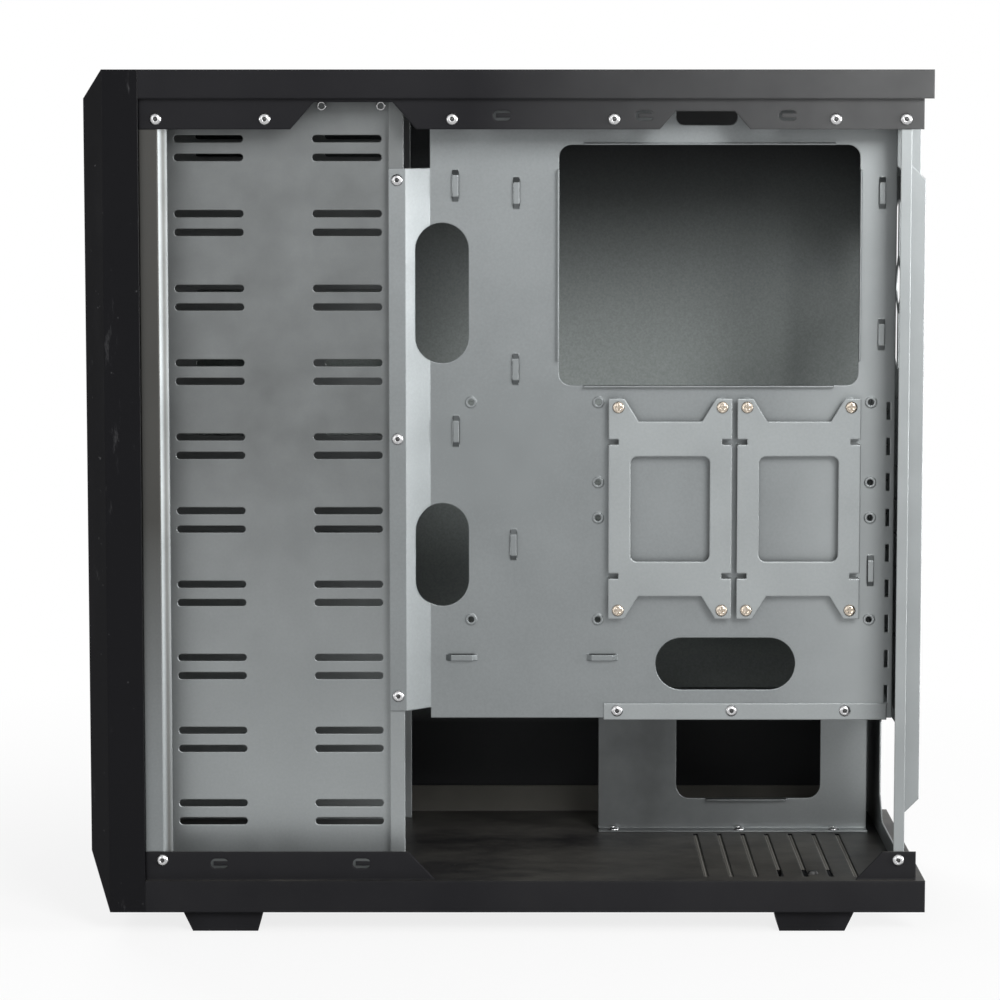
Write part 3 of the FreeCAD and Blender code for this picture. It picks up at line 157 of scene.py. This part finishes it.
class Nodes:
    """A material's node tree with short ways to add and link nodes."""

    def __init__(self, name):
        self.material = bpy.data.materials.new(name)
        self.material.use_nodes = True
        self.tree = self.material.node_tree
        self.shader = self.tree.nodes["Principled BSDF"]

    def add(self, kind, **settings):
        node = self.tree.nodes.new(kind)
        for key, value in settings.items():
            setattr(node, key, value)
        return node

    def link(self, source, target):
        self.tree.links.new(source, target)

    def set(self, **values):
        """Shader inputs that are the same all over the surface."""
        for key, value in values.items():
            self.shader.inputs[key.replace("_", " ")].default_value = value

    def place(self, scale=(1, 1, 1)):
        """Object coordinates in metres, stretched by a scale."""
        coordinates = self.add("ShaderNodeTexCoord")
        mapping = self.add("ShaderNodeMapping")
        mapping.inputs["Scale"].default_value = scale
        self.link(coordinates.outputs["Object"], mapping.inputs["Vector"])
        return mapping.outputs["Vector"]

    def noise(self, scale, detail=3.0, stretch=(1, 1, 1), rough=0.5):
        """Noise between 0 and 1 with about the given number of cells in a metre."""
        noise = self.add("ShaderNodeTexNoise")
        noise.inputs["Scale"].default_value = scale
        noise.inputs["Detail"].default_value = detail
        noise.inputs["Roughness"].default_value = rough
        self.link(self.place(stretch), noise.inputs["Vector"])
        return noise.outputs["Fac"]

    def remap(self, value, given, wanted=(0, 1)):
        """A value stretched from a given range to a wanted one and held inside it."""
        node = self.add("ShaderNodeMapRange")
        self.link(value, node.inputs["Value"])
        for key, number in zip(("From Min", "From Max", "To Min", "To Max"), (*given, *wanted)):
            node.inputs[key].default_value = number
        return node.outputs["Result"]

    def mix(self, factor, first, second):
        """A colour between two colours; each is a colour or an output."""
        node = self.add("ShaderNodeMix", data_type="RGBA")
        self.link(factor, node.inputs[0])
        for index, colour in zip(MIX_COLOURS, (first, second)):
            if isinstance(colour, tuple):
                node.inputs[index].default_value = (*colour, 1)
            else:
                self.link(colour, node.inputs[index])
        return node.outputs[MIX_RESULT]

    def math(self, operation, first, second=None):
        """An operation on one or two values, each a number or an output."""
        node = self.add("ShaderNodeMath", operation=operation)
        for index, value in enumerate((first, second)):
            if value is None:
                continue
            if isinstance(value, (int, float)):
                node.inputs[index].default_value = value
            else:
                self.link(value, node.inputs[index])
        return node.outputs[0]

    def times(self, first, second):
        return self.math("MULTIPLY", first, second)

    def colour(self, output):
        self.link(output, self.shader.inputs["Base Color"])

    def plain_colour(self):
        """The output that now colours the surface."""
        return self.shader.inputs["Base Color"].links[0].from_socket

    def cover(self, share, colour):
        """Lay a colour over the finish by a share between 0 and 1."""
        self.colour(self.mix(share, self.plain_colour(), colour))

    def roughness(self, output):
        self.link(output, self.shader.inputs["Roughness"])

    def bump(self, height, strength, distance, edge):
        """Fine relief with its depth in metres, over edges rounded to a radius."""
        node = self.add("ShaderNodeBump")
        node.inputs["Strength"].default_value = strength
        node.inputs["Distance"].default_value = distance
        rounded = self.add("ShaderNodeBevel", samples=EDGE_SAMPLES)
        rounded.inputs["Radius"].default_value = edge
        self.link(rounded.outputs["Normal"], node.inputs["Normal"])
        self.link(height, node.inputs["Height"])
        self.link(node.outputs["Normal"], self.shader.inputs["Normal"])

    def axes(self, vector):
        """The X, Y and Z outputs of a vector."""
        split = self.add("ShaderNodeSeparateXYZ")
        self.link(vector, split.inputs["Vector"])
        return [split.outputs[axis] for axis in "XYZ"]

    def facing(self):
        """The X, Y and Z outputs of the surface's normal."""
        return self.axes(self.add("ShaderNodeNewGeometry").outputs["True Normal"])


# Finishes


def zinc(name, colours, edge=ZINC_EDGE):
    """Zinc-plated sheet: slow clouds, a fine grain and an even satin sheen."""
    made = Nodes(name)
    made.set(Metallic=0.9, IOR=1.6)
    clouds = made.noise(5, detail=2)
    grain = made.noise(700)
    both = made.math("ADD", made.times(clouds, 0.7), made.times(grain, 0.3))
    made.colour(made.mix(made.remap(both, (0.36, 0.64)), *colours))
    made.roughness(made.remap(made.noise(30), USUAL, (0.38, 0.46)))
    made.bump(grain, strength=0.06, distance=0.2 * MM, edge=edge)
    return made


def shaded_post(name):
    """The front plate's zinc with painted shade: darker flanges at the open sides, more so towards the top,
    and a dark line along the middle of the bevel beside each flange."""
    made = zinc(name, ZINC)
    low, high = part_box("front_plate")
    flange = high.y - 0.5 * MM
    shade_heights = [low.z + share * (high.z - low.z) for share in POST_SHADE_HEIGHTS]
    across, height = made.axes(made.place())[1:]
    across = made.math("ABSOLUTE", across)
    outside = made.math("GREATER_THAN", across, flange)
    upper = made.remap(height, shade_heights, (0, 0.9))
    rise = made.remap(across, (flange - POST_BEVEL, flange - 0.6 * POST_BEVEL), (0, 0.75))
    fall = made.remap(across, (flange - 0.45 * POST_BEVEL, flange - 0.15 * POST_BEVEL), (1, 0))
    # Painted shade: darker flanges, more so towards the top, and a dark line between the two bends of each
    # bevel
    made.cover(made.math("MAXIMUM", made.times(outside, upper), made.times(rise, fall)), POST_SHADE_COLOUR)
    return made


def powder_coat(name, roughness=PAINT_ROUGHNESS, dusty=0.2):
    """Satin black paint with a fine orange peel, and dust where a face looks up."""
    made = Nodes(name)
    made.set(IOR=1.5, Specular_IOR_Level=0.09)
    cloud = made.noise(11, detail=5)
    base = made.mix(made.remap(cloud, (0.35, 0.7)), *BLACK)
    upward = made.remap(made.facing()[2], (0.8, 1.0), (0.04, 1))
    film_of_dust_and_light = made.remap(made.noise(9, detail=9, stretch=(1, 1.6, 1), rough=0.72), (0.40, 0.72), (0.1, 0.9))
    specks = made.remap(made.noise(420, detail=2), (0.62, 0.78), (0, 0.8))
    dust = made.times(made.math("MAXIMUM", film_of_dust_and_light, specks), made.times(upward, dusty))
    made.colour(made.mix(dust, base, DUST_AND_PAINTED_LIGHT))
    made.roughness(made.remap(cloud, USUAL, (roughness - 0.05, roughness + 0.06)))
    made.bump(made.noise(1500, detail=2), strength=0.25, distance=0.1 * MM, edge=PAINT_EDGE)
    return made


def paint_light_and_shade(made, strength, colour, **ramps):
    """Painted light and shade laid over a finish as a colour; each ramp (start, end) says where it sets in
    and where it is full, along x, y or z in metres or by the way the surface faces along y."""
    film_of_dust_and_light = made.remap(made.noise(40), USUAL, (0.8 * strength, strength))
    measures = dict(zip("xyz", made.axes(made.place())), facing_y=made.facing()[1])
    for measure, ramp in ramps.items():
        film_of_dust_and_light = made.times(film_of_dust_and_light, made.remap(measures[measure], ramp))
    made.cover(film_of_dust_and_light, colour)
    return made


def floor_paint(name):
    """The base pan's paint: a dusty floor, painted light on the far upstand's face towards the open side,
    and scuffs on the outside.
    """
    made = powder_coat(name, dusty=0.75)
    # Painted light: the far upstand's face towards the open side lighter, in the dust colour
    paint_light_and_shade(made, 0.9, DUST_AND_PAINTED_LIGHT, y=(0.09, 0.1), facing_y=(-0.3, -0.7))
    marks = made.noise(48, detail=5, stretch=(0.5, 1, 2.5), rough=0.65)
    sideways = made.remap(made.facing()[1], (-0.9, -0.99))
    made.cover(made.times(made.remap(marks, (0.70, 0.76), (0, 0.6)), sideways), SCUFF)
    return made


def panel_coat(name):
    """The side panel: black outside, and inside a grey coat that fades to black towards the bottom and the
    top as painted shade.
    """
    made = powder_coat(name, PANEL_ROUGHNESS)
    inside = made.remap(made.facing()[1], (-0.9, -0.6), (1, 0))
    height = made.axes(made.place())[2]
    # Painted shade: the grey fades to black below about 0.13 m and above about 0.28 m
    low = made.remap(height, (0.085, 0.13), (0.03, 1))
    high = made.remap(height, (0.28, 0.44), (1, 0.07))
    grey = made.mix(made.noise(900), *PANEL_GREY)
    made.cover(made.times(inside, made.times(low, high)), grey)
    return made


def gloss_black(name):
    """Gloss black moulding with faint rubbing marks, lighter upright streaks that are painted reflections,
    and specks of dust.
    """
    made = Nodes(name)
    made.set(IOR=1.5, Specular_IOR_Level=0.08)
    rub = made.noise(70, detail=6, stretch=(1, 1, 0.25), rough=0.7)
    # Painted reflections: lighter upright streaks on the gloss, laid on with the specks of dust
    reflection_streak = made.noise(34, detail=8, stretch=(3, 1, 0.6), rough=0.8)
    specks = made.remap(made.noise(260, detail=2), (0.72, 0.80), (0, 0.8))
    marks = made.math("MAXIMUM", made.remap(reflection_streak, (0.61, 0.70), (0, 0.45)), specks)
    made.colour(made.mix(marks, GLOSS_BLACK, GLOSS_DUST_AND_REFLECTION))
    made.roughness(made.remap(rub, (0.35, 0.75), (0.10, 0.30)))
    made.bump(made.noise(12, detail=2), strength=0.05, distance=0.6 * MM, edge=GLOSS_EDGE)
    return made


def matt_black(name, colour):
    """Matt black moulding with a fine spark-eroded grain."""
    made = Nodes(name)
    made.set(IOR=1.46, Specular_IOR_Level=0.08)
    cloud = made.noise(25, detail=4)
    worn = tuple(channel * 1.6 for channel in colour)
    made.colour(made.mix(made.remap(cloud, USUAL), colour, worn))
    made.roughness(made.remap(cloud, USUAL, (0.48, 0.62)))
    made.bump(made.noise(2200, detail=2), strength=0.3, distance=0.1 * MM, edge=MATT_EDGE)
    return made


def filter_mesh(name):
    """A woven dust filter in its black frame, paler along its weave where it faces up."""
    made = matt_black(name, FILTER_BLACK)
    along, across = made.axes(made.place())[:2]
    threads = [made.math("SINE", made.times(value, math.tau * THREADS)) for value in (along, across)]
    weave = made.remap(made.math("MAXIMUM", *threads), (0.2, 0.9), (0.15, 1))
    upward = made.remap(made.facing()[2], (0.8, 1.0))
    made.cover(made.times(weave, upward), FILTER_PALE_WEAVE)
    return made


def bright_metal(name, colours, roughness):
    """Plated fastener metal, a little uneven."""
    made = Nodes(name)
    made.set(Metallic=1.0)
    patch = made.noise(700)
    made.colour(made.mix(made.remap(patch, USUAL), *colours))
    made.roughness(made.remap(patch, USUAL, (roughness - 0.06, roughness + 0.08)))
    return made


def clear_plastic(name):
    """A clear moulded light."""
    made = Nodes(name)
    made.set(IOR=1.49, Transmission_Weight=0.6)
    made.colour(made.mix(made.noise(600), *CLEAR))
    made.roughness(made.remap(made.noise(900), USUAL, (0.15, 0.25)))
    return made


MATERIALS = {
    "zinc_sheet": zinc("zinc_sheet", ZINC),
    "bracket_sheet": zinc("bracket_sheet", BRIGHT_ZINC, BRACKET_EDGE),
    "black_paint": powder_coat("black_paint"),
    "panel_paint": panel_coat("panel_paint"),
    "bezel_plastic": gloss_black("bezel_plastic"),
    "cover_plastic": matt_black("cover_plastic", COVER_BLACK),
    "switch_plastic": matt_black("switch_plastic", SWITCH_BLACK),
    "foot_plastic": matt_black("foot_plastic", FOOT_BLACK),
    "bright_rivet": bright_metal("bright_rivet", RIVET, 0.26),
    "dark_screw": bright_metal("dark_screw", DARK_STEEL, 0.35),
    "nickel_screw": bright_metal("nickel_screw", NICKEL, 0.25),
    "clear_light": clear_plastic("clear_light"),
}

# Nodes with a finish of their own: painted shade on the front plate, the drive walls and the divider,
# painted light on the tray towards the rear, on the rear wall's faces towards the open side and on the roof
# towards the rear, dust on the roof and the floor with painted light on the floor's far upstand, and a
# weave paler where the filter faces up
# Painted shade: the drive walls darker from their lowest part upward
DRIVE_WALL = paint_light_and_shade(zinc("wall_sheet", BRIGHT_ZINC), 0.75, WALL_SHADE, z=(0.06, 0.28))
# Painted shade: the divider darker away from its flange by the tray, fading out towards the rear
DIVIDER = paint_light_and_shade(zinc("divider_sheet", BRIGHT_ZINC), 0.85, DIVIDER_SHADE, y=(-0.05, 0.03), x=(0.215, 0.11))
NODE_FINISHES = {
    "front_plate": shaded_post("post_sheet"),
    "drive_wall_right": DRIVE_WALL,
    "drive_wall_left": DRIVE_WALL,
    "supply_divider": DIVIDER,
    # Painted light: the tray lighter towards its rear end, where the rear flange keeps off the key lamp
    "motherboard_tray": paint_light_and_shade(zinc("tray_sheet", ZINC), 0.9, BRIGHT_ZINC[1], x=(0.15, 0.205)),
    # Painted light: the rear wall's faces towards the open side lighter
    "rear_wall": paint_light_and_shade(zinc("rear_sheet", ZINC), 0.8, BRIGHT_ZINC[1], facing_y=(-0.5, -0.9)),
    "base_pan": floor_paint("floor_paint"),
    # Painted light: the roof paint lighter towards the rear, where the key lamp falls from the right
    "roof_panel": paint_light_and_shade(powder_coat("roof_paint", dusty=0.15), 0.55, ROOF_PAINTED_LIGHT, x=(-0.02, 0.24)),
    "dust_filter": filter_mesh("filter_mesh"),
}


def dress_nodes():
    """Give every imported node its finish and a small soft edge."""
    slots = {row["node"]: row["material_slot"] for row in frame["record"]["subparts"]}
    for name, node in nodes.items():
        node.data.materials.clear()
        node.data.materials.append(NODE_FINISHES.get(name, MATERIALS[slots[name]]).material)
        soft = EDGE_SOFTNESS[slots[name]]
        if soft:
            bevel = node.modifiers.new("soft_edge", "BEVEL")
            bevel.width = soft
            bevel.segments = SOFT_SEGMENTS
            bevel.limit_method = "ANGLE"
            bevel.angle_limit = SOFT_ANGLE
            bevel.harden_normals = False


# Fasteners


def islands(node_name):
    """The boxes of a node's separate solids, as (low, high) corners."""
    mesh = nodes[node_name].data
    keys = [tuple(round(value, 5) for value in vertex.co) for vertex in mesh.vertices]
    parent = {key: key for key in keys}

    def root(key):
        while parent[key] != key:
            key = parent[key]
        return key

    for edge in mesh.edges:
        first, second = (root(keys[index]) for index in edge.vertices)
        parent[first] = second
    boxes = {}
    for key in parent:
        boxes.setdefault(root(key), []).append(key)
    return [(Vector(map(min, *points)), Vector(map(max, *points))) for points in boxes.values()]


def lathe(profile, segments):
    """A turned mesh about Z from (radius, height) points, whose ends lie on the axis or meet."""
    turns = [math.tau * step / segments for step in range(segments)]
    shape = bmesh.new()
    rings = []
    for radius, height in profile:
        if radius == 0:
            rings.append([shape.verts.new((0, 0, height))])
        else:
            points = [(radius * math.cos(turn), radius * math.sin(turn), height) for turn in turns]
            rings.append([shape.verts.new(point) for point in points])
    for lower, upper in zip(rings, rings[1:]):
        for step in range(segments):
            following = (step + 1) % segments
            if len(upper) == 1:
                shape.faces.new((lower[step], lower[following], upper[0]))
            elif len(lower) == 1:
                shape.faces.new((lower[0], upper[following], upper[step]))
            else:
                shape.faces.new((lower[step], lower[following], upper[following], upper[step]))
    for face in shape.faces:
        face.smooth = True
    bmesh.ops.recalc_face_normals(shape, faces=shape.faces)
    mesh = bpy.data.meshes.new("turned")
    shape.to_mesh(mesh)
    shape.free()
    return mesh


def scatter(name, mesh, spots, slot):
    """One object made of copies of a mesh at spots given as matrices."""
    joined = bmesh.new()
    for spot in spots:
        copy = mesh.copy()
        copy.transform(spot)
        joined.from_mesh(copy)
        bpy.data.meshes.remove(copy)
    whole = bpy.data.meshes.new(name)
    joined.to_mesh(whole)
    joined.free()
    piece = bpy.data.objects.new(name, whole)
    bpy.context.collection.objects.link(piece)
    whole.materials.append(MATERIALS[slot].material)
    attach(piece, BODY)
    return piece


def head_spot(low, high, index, sense):
    """Where a fastener's head sits on its sheet; its crown looks along an axis in a sense, 1 or -1."""
    spot = (low + high) / 2
    spot[index] = (high[index] - HEAD_HEIGHT) if sense > 0 else (low[index] + HEAD_HEIGHT)
    direction = Vector((0, 0, 0))
    direction[index] = sense
    return Matrix.Translation(spot) @ direction.to_track_quat("Z", "Y").to_matrix().to_4x4()


def rivet_mesh(radius, height, shank, length):
    """A blind rivet: a domed head with its mandrel hole, and a shank below the sheet."""
    crown = [(1.00, 0.00), (0.99, 0.20), (0.92, 0.46), (0.80, 0.70), (0.64, 0.89), (0.50, 0.98),
             (0.42, 1.00), (0.37, 0.94), (0.34, 0.75), (0.32, 0.10), (0.00, 0.05)]
    stem = [(0, -length), (shank, -length), (shank, 0)]
    return lathe(stem + [(radius * u, height * v) for u, v in crown], HEAD_SEGMENTS)


def mandrel_mesh(radius, height):
    """The broken-off pin inside a blind rivet's head."""
    pin = [(0.00, 0.06), (0.31, 0.06), (0.30, 0.42), (0.22, 0.50), (0.00, 0.46)]
    return lathe([(radius * u, height * v) for u, v in pin], PIN_SEGMENTS)


def cross_tool(radius, height):
    """Two crossed bars that cut a screw's recess."""
    arm, wide, deep = radius * 0.62, radius * 0.15, height * 0.75
    cutter = bmesh.new()
    for turn in (0, math.pi / 2):
        bar = bmesh.ops.create_cube(cutter, size=1)
        shape = Matrix.Rotation(turn, 4, "Z") @ Matrix.Translation((0, 0, height))
        shape = shape @ Matrix.Diagonal((arm * 2, wide * 2, deep * 2, 1))
        bmesh.ops.transform(cutter, matrix=shape, verts=bar["verts"])
    bmesh.ops.recalc_face_normals(cutter, faces=cutter.faces)
    mesh = bpy.data.meshes.new("cross_tool")
    cutter.to_mesh(mesh)
    cutter.free()
    return mesh


def cross_screw_mesh(radius, height, shank, length):
    """A pan-head screw with a cross recess cut into its crown."""
    crown = [(0.94, 0.00), (1.00, 0.18), (0.97, 0.50), (0.80, 0.82), (0.50, 0.97), (0.00, 1.00)]
    stem = [(0, -length), (shank, -length), (shank, 0)]
    head = lathe(stem + [(radius * u, height * v) for u, v in crown], HEAD_SEGMENTS)
    tool = bpy.data.objects.new("cross_tool", cross_tool(radius, height))
    blank = bpy.data.objects.new("cross_blank", head)
    for item in (tool, blank):
        bpy.context.collection.objects.link(item)
    cut = blank.modifiers.new("cross", "BOOLEAN")
    cut.operation = "DIFFERENCE"
    cut.object = tool
    cut.solver = "EXACT"
    cut.use_self = True
    graph = bpy.context.evaluated_depsgraph_get()
    mesh = bpy.data.meshes.new_from_object(blank.evaluated_get(graph))
    for item in (tool, blank):
        bpy.data.objects.remove(item)
    return mesh


def fastener_heads():
    """Turned heads in place of the plain solids of the rivets and screws, by slot, axis and kind."""
    kinds = {
        "rail_rivets": ("bright_rivet", 1, rivet_mesh),
        "post_rivets": ("bright_rivet", 1, rivet_mesh),
        "divider_rivets": ("bright_rivet", 1, rivet_mesh),
        "divider_foot_screws": ("bright_rivet", 2, rivet_mesh),
        "bracket_screws": ("nickel_screw", 1, cross_screw_mesh),
        "slot_screws": ("bright_rivet", 1, cross_screw_mesh),
    }
    for name, (slot, index, make) in kinds.items():
        boxes = islands(name)
        low, high = boxes[0]
        radius = (high - low)[0] / 2
        length = (high - low)[index] - HEAD_HEIGHT
        mesh = make(radius, HEAD_HEIGHT, SHANK_RADIUS, length)
        spots = []
        for low, high in boxes:
            outward = 1 if index == 2 or (low + high)[index] > 0 else -1
            spots.append(head_spot(low, high, index, outward))
        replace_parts(scatter(name + "_turned", mesh, spots, slot), name)
        if make is rivet_mesh:
            scatter(name + "_mandrels", mandrel_mesh(radius, HEAD_HEIGHT), spots, "dark_screw")


def eyelets():
    """Hollow eyelets pressed into the top of the right drive wall."""
    wall_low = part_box("drive_wall_right")[0]
    ring = [(0.58, -0.6), (0.58, 0.6), (0.66, 0.9), (0.80, 1.0), (0.94, 0.8), (1.0, 0.0), (0.9, -0.6)]
    shape = [(EYELET_RADIUS * u, EYELET_HEIGHT * v) for u, v in ring]
    mesh = lathe(shape + shape[:1], HEAD_SEGMENTS)
    outward = Vector((0, -1, 0)).to_track_quat("Z", "Y").to_matrix().to_4x4()
    spots = [Matrix.Translation((x, wall_low.y, EYELET_LEVEL)) @ outward for x in EYELETS]
    scatter("wall_eyelets", mesh, spots, "bright_rivet")


# Studio


def stand(name, data, place, aim):
    """Put a camera or a lamp in its place, turned towards its aim."""
    item = bpy.data.objects.new(name, data)
    bpy.context.collection.objects.link(item)
    item.location = place
    item.rotation_euler = (aim - Vector(place)).to_track_quat("-Z", "Y").to_euler()
    return item


def camera():
    """The photograph's view: level with the roof, looking a little down at the open right side."""
    data = bpy.data.cameras.new("camera")
    data.lens = CAMERA_LENS
    data.sensor_width = CAMERA_SENSOR
    data.clip_end = CAMERA_REACH
    bpy.context.scene.camera = stand("camera", data, CAMERA_PLACE, CAMERA_AIM)


def area_light(name, place, width, height, power):
    """A soft box that faces the middle of the case."""
    data = bpy.data.lights.new(name, "AREA")
    data.shape = "RECTANGLE"
    data.size = width
    data.size_y = height
    data.energy = power
    stand(name, data, place, LAMP_AIM)


def lamps():
    """A key from the upper right, a wide side lamp beyond the rear, a fill, a strip and a back lamp."""
    area_light("key", (0.8, -2.0, 1.2), 0.8, 0.8, power=38)
    area_light("side", (2.0, -0.50, 0.35), 0.9, 1.3, power=52)
    area_light("fill", (-1.4, -2.4, 1.0), 1.2, 1.2, power=9)
    area_light("strip", (-2.4, -0.8, 0.30), 0.15, 0.9, power=5)
    area_light("back", (-0.9, 2.3, 1.5), 1.4, 1.4, power=40)


def seen_white(tree):
    """One for the camera's rays, in reflections and through glass, and nothing for bounced light."""
    path = tree.nodes.new("ShaderNodeLightPath")
    seen = path.outputs["Is Camera Ray"]
    for kind in ("Is Glossy Ray", "Is Transmission Ray"):
        either = tree.nodes.new("ShaderNodeMath")
        either.operation = "MAXIMUM"
        tree.links.new(seen, either.inputs[0])
        tree.links.new(path.outputs[kind], either.inputs[1])
        seen = either.outputs[0]
    return seen


def white_world():
    """A white background that lights the object only softly."""
    world = bpy.data.worlds.new("world")
    bpy.context.scene.world = world
    world.use_nodes = True
    tree = world.node_tree
    background = tree.nodes["Background"]
    background.inputs["Color"].default_value = (1, 1, 1, 1)
    strength = tree.nodes.new("ShaderNodeMapRange")
    strength.inputs["To Min"].default_value = WORLD_LIGHT
    strength.inputs["To Max"].default_value = 1.0
    tree.links.new(seen_white(tree), strength.inputs["Value"])
    tree.links.new(strength.outputs["Result"], background.inputs["Strength"])


def studio_floor():
    """A white floor with the object's shadow, which fades into the background further out."""
    bpy.ops.mesh.primitive_plane_add(size=FLOOR_SIZE)
    floor = bpy.context.object
    floor.name = "studio_floor"
    made = Nodes("studio_floor")
    made.set(Roughness=0.9, Specular_IOR_Level=0.0, Base_Color=FLOOR_WHITE)
    distance = made.add("ShaderNodeVectorMath", operation="LENGTH")
    made.link(made.place(), distance.inputs[0])
    fade = made.remap(distance.outputs["Value"], (FLOOR_NEAR, FLOOR_FAR), (FLOOR_GLOW, 1.0))
    glow = made.add("ShaderNodeEmission")
    blend = made.add("ShaderNodeMixShader")
    made.link(made.times(fade, seen_white(made.tree)), blend.inputs[0])
    made.link(made.shader.outputs["BSDF"], blend.inputs[1])
    made.link(glow.outputs["Emission"], blend.inputs[2])
    made.link(blend.outputs["Shader"], made.tree.nodes["Material Output"].inputs["Surface"])
    floor.data.materials.append(made.material)


dress_nodes()
fastener_heads()
eyelets()
white_world()
studio_floor()
lamps()
camera()
bpy.context.scene.view_settings.view_transform = "Standard"
